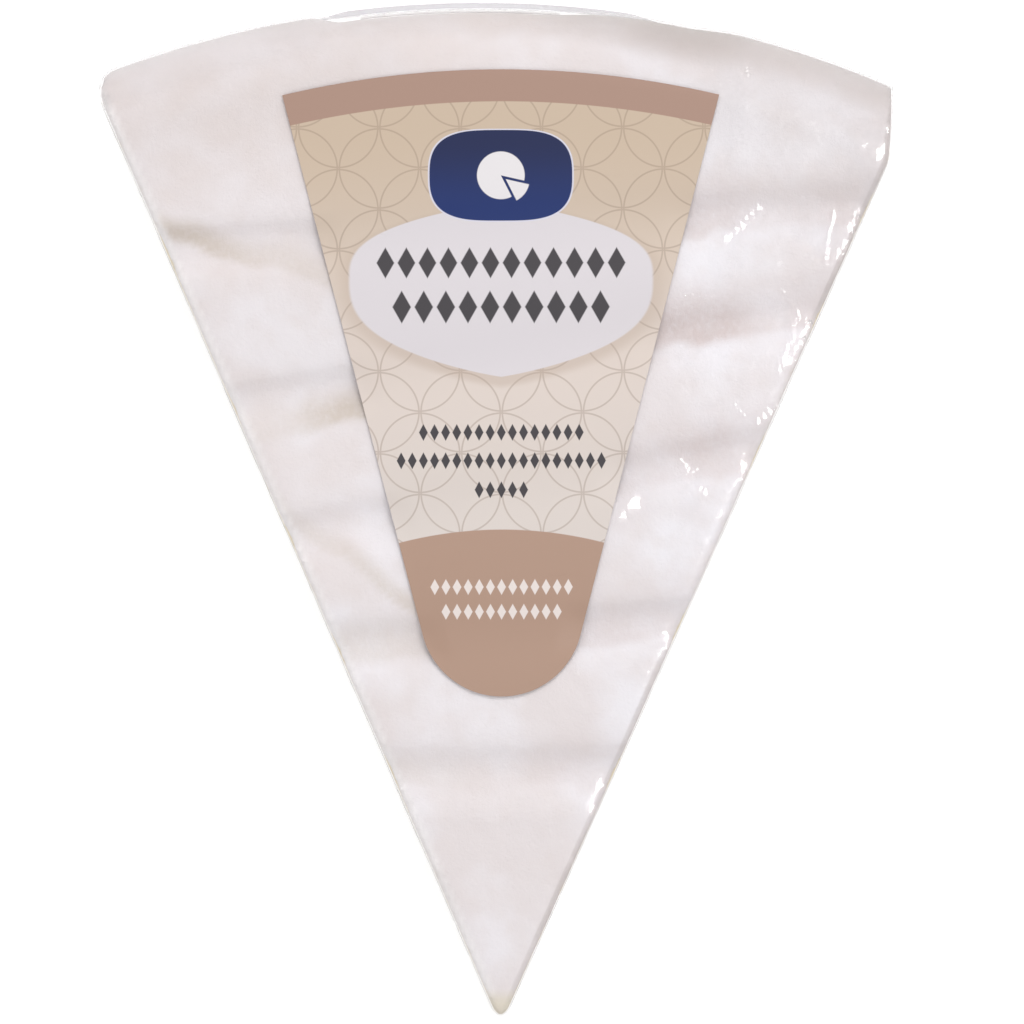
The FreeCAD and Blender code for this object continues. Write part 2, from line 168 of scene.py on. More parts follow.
# Rows of diamonds: place along the label, half length, pitch, and one's width and height.
DARK_ROWS = (
    (39.9, 14.28, 2.38, 2.0, 3.5),
    (34.9, 12.5, 2.5, 2.1, 3.7),
    (20.7, 9.45, 1.26, 1.0, 1.9),
    (17.5, 11.97, 1.26, 1.0, 1.9),
    (14.2, 3.15, 1.26, 1.0, 1.9),
)
PALE_ROWS = (
    (3.2, 8.19, 1.26, 1.0, 1.8),
    (0.4, 6.93, 1.26, 1.0, 1.8),
)

# Unevenness: its size in millimetres and its seed.
FELT_FINE, FELT_COARSE, SWELL = (1.3, 5), (2.9, 6), (11.0, 7)
MARK_WANDER, MARK_FRAY, MARK_PATCHES = (7.0, 21), (2.2, 22), (8.0, 23)
FILM_LOOSE, FILM_GATHERS = (3.5, 31), (9.0, 41)
SIDE_WAVES, SIDE_CREASES = (7.0, 43), (3.2, 44)
BAND_WANDER, FLAP_WAVES = (6.0, 51), (6.0, 61)
LINE_PATCHES, SHEEN_WANDER, SHEEN_PATCHES = (5.0, 71), (9.0, 72), (9.0, 73)
SHEEN_STREAKS, SHEEN_STREAK_GRAIN = (2.6, 81), (1.1, 82)

# Colours as seen on screen, from 0 to 255.
WHITE = (255, 255, 255)
RIND_WARM = ((231, 221, 220), (237, 230, 232))
RIND_SHEEN = ((231, 224, 226), (240, 237, 242))
RIND_SPOTS = (224, 212, 209)
# Painted shade in the rack marks, on the left and on the right.
RACK_SHADE_LEFT = (207, 194, 182)
RACK_SHADE_RIGHT = (211, 196, 194)
RIM_SHADE_BROWN = (176, 163, 157)
PAINTED_EDGE_LIGHT = (252, 248, 248)
RIGHT_LINE = (186, 174, 172)
PASTE = ((228, 210, 172), (241, 229, 200))
PASTE_SPOTS = (212, 194, 156)
WORN_TIP = (222, 212, 194)
FILM_HAZE_AND_SHEEN = (240, 237, 239)
FIN_HAZE = (216, 214, 219)
PAPER_FOOT = (218, 208, 202)
PAPER_MIDDLE = (220, 207, 199)
PAPER_TOP = (201, 181, 160)
RING_BROWN = (150, 128, 112)
PANEL_SHADOW = (178, 156, 138)
PANEL_GREY = (218, 212, 216)
DARK_PRINT = (66, 62, 66)
PALE_PRINT = (232, 221, 216)
BAND_BROWN = (170, 139, 124)
TAB_BROWN = (177, 146, 128)
BADGE_OUTLINE = (214, 212, 226)
BADGE_TOP = (10, 26, 74)
BADGE_FOOT = (8, 40, 104)
SLICE_PALE = (228, 224, 226)

# The view in millimetres, then the light. A lamp has a place and a size in metres, and watts.
VIEW_ACROSS = 115.9
VIEW_MIDDLE = (2.1, -0.3)
VIEW_TURN = math.radians(0.4)
LENS, SENSOR = 1500, 36
FLOOR_HALF = 1.5
FLOOR_WHITE = 0.93
FLOOR_GLOW = 0.4
WORLD_LIGHT = 0.8
KEY_LAMP = ((0.06, 0.36, 0.42), (0.25, 0.25), 0.9)
GLINT_LAMP = ((0.34, 0.10, 0.50), (0.18, 0.45), 7.0)

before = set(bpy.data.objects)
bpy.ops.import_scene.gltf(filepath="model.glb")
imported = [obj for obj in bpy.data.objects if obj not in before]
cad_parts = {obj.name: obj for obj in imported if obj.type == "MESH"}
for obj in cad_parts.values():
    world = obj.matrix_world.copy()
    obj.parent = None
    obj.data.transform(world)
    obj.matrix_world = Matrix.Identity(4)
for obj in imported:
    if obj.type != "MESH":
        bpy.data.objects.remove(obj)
cad_low, cad_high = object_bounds()
film_low, film_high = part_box("film")
cheese_low, cheese_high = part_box("cheese")
AXIS = np.array([AXIS_ACROSS, film_low.y / MM - TIP_FRONT, 0.0])


# --- Numbers on points -------------------------------------------------------


def smooth(low, high, values):
    """0 below low, 1 above high and a smooth rise between."""
    share = np.clip((values - low) / (high - low), 0, 1)
    return share * share * (3 - 2 * share)


def changing(base, changes, turn):
    """A value that changes in smooth steps round the wheel."""
    return base + sum(change * smooth(start, end, turn) for start, end, change in changes)


def lattice(cells, seed):
    """A fixed random number from -1 to 1 for each cell, by mixing its numbers' bits."""
    x, y, z = (cells[..., n].astype(np.int64) for n in range(3))
    mixed = x * 73856093 ^ y * 19349663 ^ z * 83492791 ^ seed * 2654435761
    mixed = (mixed ^ (mixed >> 13)) * 1274126177 & 0x7FFFFFFF
    mixed = (mixed ^ (mixed >> 11)) & 0xFFFF
    return mixed / 32767.5 - 1


def noise(points, size, seed):
    """Smooth random unevenness from -1 to 1 with bumps of about one size."""
    places = points / size
    cells = np.floor(places)
    inside = places - cells
    inside = inside * inside * (3 - 2 * inside)
    total = np.zeros(len(points))
    for corner in range(8):
        step = np.array([corner & 1, corner >> 1 & 1, corner >> 2 & 1])
        weight = np.prod(np.where(step, inside, 1 - inside), axis=1)
        total += weight * lattice(cells + step, seed)
    return total


def rack_places(points):
    """For each rack mark, places across it: 0 on its middle and 1 at its rim side's end."""
    across, ahead = points[:, 0], points[:, 1]
    middles = [
        WHEEL_RADIUS - RACK_INSET - RACK_PITCH * number + slant * across
        for number, slant in enumerate(RACK_SLANTS)
    ]
    room = [np.full(len(points), RACK_WIDTH)]
    room += [0.96 * (middles[n] - middles[n + 1]) for n in range(len(middles) - 1)]
    room += [np.full(len(points), RACK_WIDTH)]
    places = []
    for number, middle in enumerate(middles):
        front, back = (np.minimum(RACK_WIDTH, room[number + n]) / 2 for n in (0, 1))
        places.append((ahead - middle) / np.where(ahead > middle, front, back))
    return places


def groove(points):
    """Share of a rack mark's depth: 1 along its middle and 0 between marks."""
    share = np.zeros(len(points))
    for place in rack_places(points):
        share += np.where(np.abs(place) < 1, (1 + np.cos(np.pi * place)) / 2, 0)
    return share


def rack_shade(points):
    """How dark the painted shade of the rack marks is: a crisp edge on the tip's side, soft on the
    rim's.
    """
    right = smooth(*MARK_SIDES, in_wedge(points)[:, 0])
    inward = cut_distance(points, -1)
    by_label = smooth(*MARK_BY_LABEL, inward)
    wander = 0.3 * noise(points, *MARK_WANDER) + 0.1 * noise(points, *MARK_FRAY)
    patches = smooth(-0.6, 0.35, noise(points, *MARK_PATCHES))
    fade = 0.75 + 0.95 * right
    shade = np.zeros(len(points))
    for place, (edge, middle, far, shift, lean) in zip(rack_places(points), RACK_LOOKS):
        moved = (shift + lean * inward) * (1 - right) / (RACK_WIDTH / 2)
        place = place + wander - moved
        left_dark = edge + (middle - edge) * by_label
        dark = left_dark + (far * (0.35 + 0.65 * patches) - left_dark) * right
        edge_share = smooth(*MARK_CRISP_EDGE, place) * smooth(fade, 0, place)
        shade = np.maximum(shade, dark * edge_share)
    return shade


def cut_distance(points, side):
    """How far points lie inside one cut face: side is -1 for left and 1 for right."""
    away = points[:, :2] - APEX
    return math.sin(HALF_ANGLE) * away[:, 1] - side * math.cos(HALF_ANGLE) * away[:, 0]


def right_edge_distance(points):
    """How far points lie inside the right cut face and its pressed corner."""
    way = np.array([math.sin(HALF_ANGLE), math.cos(HALF_ANGLE)])
    start = APEX @ way
    length = math.sqrt(start**2 - APEX @ APEX + WHEEL_RADIUS**2) - start
    corner = APEX + way * (length - RIGHT_CORNER_RUN)
    turn = HALF_ANGLE - RIGHT_CORNER_TURN
    away = points[:, :2] - corner
    pressed = math.sin(turn) * away[:, 1] - math.cos(turn) * away[:, 0]
    return np.minimum(cut_distance(points, 1), pressed)


def in_wedge(points):
    """Place on the wedge as seen from above: across its middle and ahead of its apex."""
    return points[:, :2] - APEX


def round_wheel(points):
    """Turn of points round the wheel's axis, in degrees to the right of straight ahead."""
    return np.degrees(np.arctan2(points[:, 0], points[:, 1]))


def faces_out(points, normals):
    """How squarely a surface faces away from the wheel's axis: 1 where it is the rim."""
    outward = np.sum(normals[:, :2] * points[:, :2], axis=1)
    return outward / np.hypot(points[:, 0], points[:, 1])


def in_label(points):
    """Place on the label as seen from above, from the middle of its round end."""
    away = points[:, :2] - LABEL_START
    turn, rise = math.cos(LABEL_TURN), math.sin(LABEL_TURN)
    across = turn * away[:, 0] + rise * away[:, 1]
    ahead = turn * away[:, 1] - rise * away[:, 0]
    return np.stack([across, ahead], axis=1)


def label_half_width(ahead):
    """Half of the label's width at places along it."""
    side = LABEL_END / math.cos(LABEL_SIDE) + ahead * math.tan(LABEL_SIDE)
    round_end = np.sqrt(np.clip(LABEL_END**2 - np.minimum(ahead, 0) ** 2, 0, None))
    return np.where(ahead > -LABEL_END * math.sin(LABEL_SIDE), side, round_end)


def label_share(points, margin):
    """1 under the label, falling to 0 at some margin outside it."""
    place = in_label(points)
    across = np.abs(place[:, 0]) - label_half_width(place[:, 1])
    crown = LABEL_CROWN * (1 - (place[:, 0] / LABEL_TOP_HALF) ** 2)
    ahead = place[:, 1] - LABEL_LENGTH - crown
    behind = -LABEL_END - place[:, 1]
    return 1 - smooth(0, margin, np.maximum(np.maximum(across, ahead), behind))


# --- Meshes ------------------------------------------------------------------


def new_object(name, points, faces, material, nodes=(), sharp=False):
    """A mesh object from points in millimetres from the wheel's axis."""
    mesh = bpy.data.meshes.new(name)
    places = (np.asarray(points) + AXIS) * MM
    mesh.from_pydata(places.tolist(), [], [list(face) for face in faces])
    mesh.validate()
    mesh.shade_smooth()
    if sharp:
        mesh.set_sharp_from_angle(angle=math.radians(40))
    made = bpy.data.objects.new(name, mesh)
    bpy.context.scene.collection.objects.link(made)
    mesh.materials.append(material)
    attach(made, "root")
    if nodes:
        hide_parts(*nodes)
    return made


def store(made, name, values):
    """Keeps a number or a triple for each of a mesh's points, for its material."""
    values = np.asarray(values, np.float32)
    kind, key = ("FLOAT", "value") if values.ndim == 1 else ("FLOAT_VECTOR", "vector")
    attribute = made.data.attributes.new(name, kind, "POINT")
    attribute.data.foreach_set(key, values.ravel())


def points_of(mesh):
    """A mesh's points, in millimetres from the wheel's axis."""
    places = np.zeros(len(mesh.vertices) * 3, np.float32)
    mesh.vertices.foreach_get("co", places)
    return places.reshape(-1, 3).astype(float) / MM - AXIS


def quads_of(mesh):
    """The corners of a mesh that has only four-sided faces."""
    corners = np.zeros(len(mesh.loops), np.int32)
    mesh.loops.foreach_get("vertex_index", corners)
    return corners.reshape(-1, 4)


def remeshed(node, size):
    """Points and even four-sided faces over a CAD node's outside."""
    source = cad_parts[node]
    copy = bpy.data.objects.new("copy", source.data.copy())
    bpy.context.scene.collection.objects.link(copy)
    modifier = copy.modifiers.new("even", "REMESH")
    modifier.mode = "VOXEL"
    modifier.voxel_size = size * MM
    bpy.context.view_layer.update()
    graph = bpy.context.evaluated_depsgraph_get()
    mesh = bpy.data.meshes.new_from_object(copy.evaluated_get(graph))
    surface = BVHTree.FromObject(copy, graph, deform=False)
    for vertex in mesh.vertices:
        vertex.co = surface.find_nearest(vertex.co)[0]
    points, faces = points_of(mesh), quads_of(mesh)
    bpy.data.objects.remove(copy)
    bpy.data.meshes.remove(mesh)
    return points, faces


def neighbour_mean(values, faces):
    """Mean of each point's neighbours along the faces' edges."""
    total = np.zeros_like(values)
    count = np.zeros(len(values))
    for step in range(4):
        here, there = faces[:, step], faces[:, (step + 1) % 4]
        for one, other in ((here, there), (there, here)):
            for part in range(values.shape[1]):
                total[:, part] += np.bincount(one, values[other, part], len(values))
            count += np.bincount(one, minlength=len(values))
    return total / count[:, None]


def relaxed(points, faces, rounds, share=0.5):
    """Points moved towards their neighbours, which rounds off sharp edges."""
    for _ in range(rounds):
        points = points + share * (neighbour_mean(points, faces) - points)
    return points


def normals_of(points, faces):
    """Outward direction at each point of a mesh of four-sided faces."""
    corners = points[faces]
    facing = np.cross(corners[:, 2] - corners[:, 0], corners[:, 3] - corners[:, 1])
    total = np.zeros_like(points)
    for corner in range(4):
        for part in range(3):
            total[:, part] += np.bincount(faces[:, corner], facing[:, part], len(points))
    return total / np.maximum(np.linalg.norm(total, axis=1), 1e-9)[:, None]


def refined(points, faces, chosen, cuts):
    """The same surface with its chosen faces cut finer: points, faces and directions."""
    form = bmesh.new()
    corners = [form.verts.new(point) for point in points.tolist()]
    made = [form.faces.new([corners[index] for index in face]) for face in faces.tolist()]
    edges = {edge for face, wanted in zip(made, chosen) if wanted for edge in face.edges}
    bmesh.ops.subdivide_edges(form, edges=list(edges), cuts=cuts, use_grid_fill=True)
    form.verts.index_update()
    form.normal_update()
    fine_points = np.array([tuple(corner.co) for corner in form.verts])
    normals = np.array([tuple(corner.normal) for corner in form.verts])
    fine_faces = [[corner.index for corner in face.verts] for face in form.faces]
    form.free()
    return fine_points, fine_faces, normals


# --- Materials ---------------------------------------------------------------


class Paint:
    """A material's node tree with short names for arithmetic and colour mixing."""

    def __init__(self, name):
        """An empty material with its output node."""
        self.material = bpy.data.materials.new(name)
        self.material.use_nodes = True
        self.tree = self.material.node_tree
        self.tree.nodes.clear()
        self.output = self.node("ShaderNodeOutputMaterial")

    def node(self, kind, **settings):
        """A new node with some of its settings."""
        made = self.tree.nodes.new(kind)
        for name, value in settings.items():
            setattr(made, name, value)
        return made

    def plug(self, socket, value):
        """Feeds a socket from another node, or sets its value."""
        if isinstance(value, bpy.types.NodeSocket):
            self.tree.links.new(value, socket)
        elif value is not None:
            socket.default_value = value

    def math(self, operation, *values):
        """The result of one step of arithmetic."""
        made = self.node("ShaderNodeMath", operation=operation)
        for socket, value in zip(made.inputs, values):
            self.plug(socket, value)
        return made.outputs[0]

    def rise(self, low, high, value):
        """0 below low, 1 above high and a smooth rise between."""
        made = self.node("ShaderNodeMapRange", interpolation_type="SMOOTHSTEP")
        self.plug(made.inputs["Value"], value)
        self.plug(made.inputs["From Min"], low)
        self.plug(made.inputs["From Max"], high)
        return made.outputs[0]

    def mix(self, share, one, other):
        """A share of the other colour in the one."""
        made = self.node("ShaderNodeMix", data_type="RGBA")
        colours = [socket for socket in made.inputs if socket.type == "RGBA"]
        self.plug(made.inputs[0], share)
        self.plug(colours[0], one)
        self.plug(colours[1], other)
        return next(socket for socket in made.outputs if socket.type == "RGBA")

    def stored(self, name):
        """A number or triple that store keeps for the mesh's points."""
        return self.node("ShaderNodeAttribute", attribute_name=name)

    def noise(self, place, scale, detail=2.0, rough=0.5, seed=0.0):
        """Uneven values round a half, with more of them to a millimetre at a larger scale."""
        made = self.node("ShaderNodeTexNoise", noise_dimensions="4D")
        self.plug(made.inputs["Vector"], place)
        made.inputs["W"].default_value = seed
        made.inputs["Scale"].default_value = scale
        made.inputs["Detail"].default_value = detail
        made.inputs["Roughness"].default_value = rough
        return made.outputs[0]

    def bump(self, height, distance, strength=1.0):
        """A direction that is tilted by a height."""
        made = self.node("ShaderNodeBump")
        made.inputs["Strength"].default_value = strength
        made.inputs["Distance"].default_value = distance
        self.plug(made.inputs["Height"], height)
        return made.outputs[0]

    def blended(self, share, one, other):
        """A share of the other shader over the one."""
        made = self.node("ShaderNodeMixShader")
        self.plug(made.inputs[0], share)
        self.plug(made.inputs[1], one.outputs[0])
        self.plug(made.inputs[2], other.outputs[0])
        return made

    def surface(self, colour, roughness, specular=0.5, normal=None):
        """An opaque surface, plugged into the output."""
        made = self.node("ShaderNodeBsdfPrincipled")
        self.plug(made.inputs["Base Color"], colour)
        self.plug(made.inputs["Roughness"], roughness)
        made.inputs["Specular IOR Level"].default_value = specular
        self.plug(made.inputs["Normal"], normal)
        self.plug(self.output.inputs["Surface"], made.outputs[0])
        return made


def tint(colour):
    """A colour as seen on screen, from 0 to 255, as a linear one for a shader."""
    shares = [value / 255 for value in colour]
    return (*[s / 12.92 if s <= 0.04045 else ((s + 0.055) / 1.055) ** 2.4 for s in shares], 1.0)


def cheese_material():
    """White mould rind with rack marks, the cut faces' paste, and painted shade, sheen and edge
    light.
    """
    paint = Paint("cheese")
    place = paint.stored("plan").outputs["Vector"]
    numbers = ("shade", "painted_sheen", "cut", "skin", "tip", "rim", "pale", "side", "lined")
    shade, painted_sheen, cut, skin, tip, rim, pale, side, lined = (
        paint.stored(name).outputs["Fac"] for name in numbers
    )
    broad = paint.noise(place, 0.11, 2.0, 0.5)
    small = paint.noise(place, 0.45, 2.0, 0.5, 5.0)
    fine = paint.noise(place, 1.6, 3.0, 0.6, 3.0)
    felt = paint.noise(place, 3.2, 3.0, 0.6, 7.0)
    patchy = paint.rise(0.36, 0.64, broad)
    rind = paint.mix(patchy, tint(RIND_WARM[0]), tint(RIND_WARM[1]))
    # Painted sheen: a lighter, cooler rind that stands in for the film's broad reflection.
    sheen_colour = paint.mix(patchy, tint(RIND_SHEEN[0]), tint(RIND_SHEEN[1]))
    rind = paint.mix(painted_sheen, rind, sheen_colour)
    spots = paint.math("MULTIPLY", paint.rise(0.45, 0.75, small), 0.2)
    rind = paint.mix(spots, rind, tint(RIND_SPOTS))
    # Painted shade in the rack marks, broken up by fine unevenness.
    painted_mark_shade = paint.math("MULTIPLY", shade, paint.rise(-0.4, 0.7, fine))
    parts = paint.node("ShaderNodeSeparateXYZ")
    paint.plug(parts.inputs[0], place)
    right = paint.rise(-10.0, 10.0, parts.outputs[0])
    rind = paint.mix(painted_mark_shade, rind, paint.mix(right, tint(RACK_SHADE_LEFT), tint(RACK_SHADE_RIGHT)))
    # Painted shade along the rim's shoulder and the right edge's end, and a little darkening
    # elsewhere.
    rind = paint.mix(rim, rind, tint(RIM_SHADE_BROWN))
    # Painted light along the left edge, lifting the shade of its rounded corner.
    rind = paint.mix(pale, rind, tint(PAINTED_EDGE_LIGHT))
    line = paint.math("MULTIPLY", paint.rise(0.55, 0.3, side), lined)
    rind = paint.mix(line, rind, tint(RIGHT_LINE))
    ripe = paint.mix(paint.rise(1.6, 4.6, skin), tint(PASTE[0]), tint(PASTE[1]))
    edge = paint.math("ADD", skin, paint.math("MULTIPLY", small, 0.6))
    paste = paint.mix(paint.rise(1.9, 2.5, edge), rind, ripe)
    spots = paint.math("MULTIPLY", paint.rise(0.5, 0.8, small), 0.2)
    paste = paint.mix(spots, paste, tint(PASTE_SPOTS))
    colour = paint.mix(cut, rind, paste)
    colour = paint.mix(paint.math("MULTIPLY", tip, 0.9), colour, tint(WORN_TIP))
    normal = paint.bump(paint.math("ADD", felt, fine), 0.0001, 0.5)
    paint.surface(colour, 0.75, 0.3, normal)
    return paint.material


def film_material():
    """Clear film that shows by what it reflects, by haze where folded or edge on, and by painted
    sheen.
    """
    paint = Paint("film")
    place = paint.stored("plan").outputs["Vector"]
    haze_and_painted_light = paint.stored("haze_and_painted_light").outputs["Fac"]
    creases = paint.noise(place, 0.55, 2.0, 0.5, 11.0)
    normal = paint.bump(creases, 0.0004, 0.3)
    clear = paint.node("ShaderNodeBsdfTransparent")
    clear.inputs["Color"].default_value = (0.985, 0.985, 0.985, 1.0)
    haze = paint.node("ShaderNodeBsdfDiffuse")
    # The haze also holds painted sheen streaks and a white painted highlight on the seal's bead.
    tone = paint.mix(paint.rise(0.2, 0.3, haze_and_painted_light), tint(FILM_HAZE_AND_SHEEN), tint(FIN_HAZE))
    tone = paint.mix(paint.rise(0.6, 0.9, haze_and_painted_light), tone, tint(WHITE))
    paint.plug(haze.inputs["Color"], tone)
    facing = paint.node("ShaderNodeLayerWeight")
    facing.inputs["Blend"].default_value = 0.5
    edge_on = paint.math("MULTIPLY", paint.math("POWER", facing.outputs["Facing"], 2.5), 0.18)
    hazy = paint.blended(paint.math("MAXIMUM", edge_on, haze_and_painted_light), clear, haze)
    soft, sharp = (paint.node("ShaderNodeBsdfGlossy") for _ in range(2))
    for shine, roughness in ((soft, 0.3), (sharp, 0.08)):
        shine.inputs["Roughness"].default_value = roughness
        shine.inputs["Color"].default_value = tint(WHITE)
        paint.plug(shine.inputs["Normal"], normal)
    shines = paint.blended(0.55, soft, sharp)
    fresnel = paint.node("ShaderNodeFresnel")
    fresnel.inputs["IOR"].default_value = 1.5
    paint.plug(fresnel.inputs["Normal"], normal)
    inside = paint.node("ShaderNodeNewGeometry").outputs["Backfacing"]
    share = paint.math("MULTIPLY", fresnel.outputs[0], paint.math("SUBTRACT", 1.0, inside))
    whole = paint.blended(share, hazy, shines)
    paint.plug(paint.output.inputs["Surface"], whole.outputs[0])
    return paint.material


def diamonds(paint, across, ahead, row, half, pitch, width, height):
    """1 inside the diamonds of one row, centred on the label's middle line."""
    shifted = paint.math("ADD", across, half)
    within = paint.math("SUBTRACT", paint.math("FLOORED_MODULO", shifted, pitch), pitch / 2)
    sideways = paint.math("DIVIDE", paint.math("ABSOLUTE", within), width / 2)
    level = paint.math("ABSOLUTE", paint.math("SUBTRACT", ahead, row))
    size = paint.math("ADD", sideways, paint.math("DIVIDE", level, height / 2))
    inside = paint.rise(1.08, 0.92, size)
    ends = paint.math("LESS_THAN", paint.math("ABSOLUTE", across), half)
    return paint.math("MULTIPLY", inside, ends)


def oval(paint, across, ahead, middle, reach, power):
    """Below 1 inside a rounded shape and above 1 outside; power 1 is an ellipse."""
    sideways = paint.math("ABSOLUTE", paint.math("DIVIDE", across, reach[0]))
    level = paint.math("SUBTRACT", ahead, middle)
    above = paint.math("ABSOLUTE", paint.math("DIVIDE", level, reach[1]))
    below = paint.math("ABSOLUTE", paint.math("DIVIDE", level, reach[2]))
    side = paint.math("GREATER_THAN", level, 0.0)
    upper = paint.math("MULTIPLY", above, side)
    lower = paint.math("MULTIPLY", below, paint.math("SUBTRACT", 1.0, side))
    height = paint.math("ADD", upper, lower)
    one = paint.math("POWER", sideways, power[0])
    other = paint.math("POWER", height, power[1])
    return paint.math("ADD", one, other)


def rings(paint, across, ahead, radius, shift):
    """1 on the lines of touching circles, which stand in a square grid."""
    gaps = []
    for value in (across, ahead):
        moved = paint.math("FLOORED_MODULO", paint.math("ADD", value, shift), 2 * radius)
        gaps.append(paint.math("SUBTRACT", moved, radius))
    square = paint.math("ADD", paint.math("POWER", gaps[0], 2.0), paint.math("POWER", gaps[1], 2.0))
    middle = radius - 0.12
    off = paint.math("ABSOLUTE", paint.math("SUBTRACT", paint.math("SQRT", square), middle))
    return paint.rise(RING_LINE + 0.04, RING_LINE - 0.04, off)


def slice_mark(paint, across, ahead, middle, radius):
    """1 inside a plain round with one slice drawn out of it."""
    share = None
    for away, keep in ((0.0, False), (SLICE_AWAY, True)):
        x = paint.math("SUBTRACT", across, away * math.cos(SLICE_WAY))
        y = paint.math("SUBTRACT", ahead, middle + away * math.sin(SLICE_WAY))
        square = paint.math("ADD", paint.math("MULTIPLY", x, x), paint.math("MULTIPLY", y, y))
        disc = paint.rise(radius + 0.06, radius - 0.06, paint.math("SQRT", square))
        angle = paint.math("ARCTAN2", y, x)
        turn = paint.math("ABSOLUTE", paint.math("SUBTRACT", angle, SLICE_WAY))
        piece = paint.rise(SLICE_HALF_ANGLE + 0.03, SLICE_HALF_ANGLE - 0.03, turn)
        part = piece if keep else paint.math("SUBTRACT", 1.0, piece)
        found = paint.math("MULTIPLY", disc, part)
        share = found if share is None else paint.math("MAXIMUM", share, found)
    return share


def label_material():
    """Beige paper with bands, a badge, a pale panel and rows of plain diamonds."""
    paint = Paint("label")
    place = paint.node("ShaderNodeSeparateXYZ")
    paint.plug(place.inputs[0], paint.stored("spot").outputs["Vector"])
    across, ahead = place.outputs[0], place.outputs[1]
    ground = paint.mix(paint.rise(8.0, 30.0, ahead), tint(PAPER_FOOT), tint(PAPER_MIDDLE))
    ground = paint.mix(paint.rise(24.0, 56.0, ahead), ground, tint(PAPER_TOP))
    lines = paint.math(
        "MAXIMUM",
        rings(paint, across, ahead, RING_RADIUS, 0.0),
        rings(paint, across, ahead, RING_RADIUS, RING_RADIUS),
    )
    colour = paint.mix(paint.math("MULTIPLY", lines, 0.4), ground, tint(RING_BROWN))
    panel = oval(paint, across, ahead, PANEL_MIDDLE, PANEL_REACH, PANEL_POWERS)
    low = paint.math("ADD", ahead, SHADOW_DROP)
    halo = oval(paint, across, low, PANEL_MIDDLE, SHADOW_REACH, PANEL_POWERS)
    shadow = paint.math("MULTIPLY", paint.rise(1.12, 0.9, halo), 0.35)
    colour = paint.mix(shadow, colour, tint(PANEL_SHADOW))
    colour = paint.mix(paint.rise(1.015, 0.985, panel), colour, tint(PANEL_GREY))
    for row in DARK_ROWS:
        share = diamonds(paint, across, ahead, *row)
        colour = paint.mix(share, colour, tint(DARK_PRINT))
    square = paint.math("MULTIPLY", across, across)
    bend = paint.math("DIVIDE", square, LABEL_TOP_HALF**2 / LABEL_CROWN)
    top = paint.math("ADD", ahead, bend)
    band = paint.rise(BAND_START - PRINT_BLUR, BAND_START + PRINT_BLUR, top)
    colour = paint.mix(band, colour, tint(BAND_BROWN))
    low = paint.math("ADD", ahead, paint.math("DIVIDE", square, TAB_BEND))
    tab = paint.rise(TAB_TOP + PRINT_BLUR, TAB_TOP - PRINT_BLUR, low)
    colour = paint.mix(tab, colour, tint(TAB_BROWN))
    for row in PALE_ROWS:
        share = diamonds(paint, across, ahead, *row)
        colour = paint.mix(share, colour, tint(PALE_PRINT))
    badge = oval(paint, across, ahead, BADGE_MIDDLE, BADGE_REACH, BADGE_POWERS)
    colour = paint.mix(paint.rise(1.0, 0.97, badge), colour, tint(BADGE_OUTLINE))
    navy = paint.mix(paint.rise(54.0, 45.5, ahead), tint(BADGE_TOP), tint(BADGE_FOOT))
    colour = paint.mix(paint.rise(0.93, 0.90, badge), colour, navy)
    mark = slice_mark(paint, across, ahead, BADGE_MIDDLE, SLICE_RADIUS)
    colour = paint.mix(mark, colour, tint(SLICE_PALE))
    paint.surface(colour, 0.6, 0.2)
    return paint.material


# --- The pieces --------------------------------------------------------------


def skin_distance(points):
    """How far points on a cut face lie from the nearest rind."""
    top = cheese_high.z / MM - points[:, 2]
    foot = points[:, 2] - cheese_low.z / MM
    rim = WHEEL_RADIUS - np.hypot(points[:, 0], points[:, 1])
    nearest = np.minimum(np.minimum(top, foot), rim)
    for level, radius in ((top, TOP_SHOULDER), (foot, FOOT_SHOULDER)):
        inward = np.hypot(np.clip(radius - level, 0, None), np.clip(radius - rim, 0, None))
        corner = (level < radius) & (rim < radius)
        nearest = np.where(corner, np.minimum(nearest, radius - inward), nearest)
    return nearest


def rim_shade(points):
    """How much darker the rind is painted: painted shade most along the rim's right half, a little
    elsewhere.
    """
    place = in_wedge(points)
    rim = WHEEL_RADIUS - np.hypot(points[:, 0], points[:, 1])
    turn = round_wheel(points)
    strength = changing(BAND_STRENGTH, BAND_CHANGES, turn)
    uneven = rim + 0.5 * noise(points, *BAND_WANDER)
    band = strength * smooth(*BAND_FADE, uneven)
    broad = RIM_TONE * smooth(*RIM_TONE_FADE, rim)
    broad += RIGHT_TONE * smooth(*RIGHT_TONE_FADE, rim) * smooth(*RIGHT_TONE_TURN, turn)
    for share, ahead, across in BROWNER:
        broad += share * smooth(*ahead, place[:, 1]) * smooth(*across, place[:, 0])
    side = smooth(*EDGE_SHADE_FADE, right_edge_distance(points))
    side *= smooth(*EDGE_SHADE_AHEAD, place[:, 1])
    return np.maximum(np.maximum(band, EDGE_SHADE * side), broad)


def rim_room(points, normals):
    """How far cheese and film bulge out round the rim, but not behind the seal's bead."""
    turn = round_wheel(points)
    right, left = (smooth(*start, turn) for start in BULGE_STARTS)
    amount = changing(BULGE, BULGE_CHANGES, turn) * np.maximum(right, left)
    facing = smooth(0.45, 0.9, faces_out(points, normals))
    return amount * facing * smooth(3, 9, points[:, 2])


def within_film(points, margin):
    """Points kept within the film's box, by some margin all round."""
    low = np.array([film_low.x, film_low.y, film_low.z]) / MM - AXIS + margin
    high = np.array([film_high.x, film_high.y, cad_high.z]) / MM - AXIS - margin
    return np.clip(points, low, high)


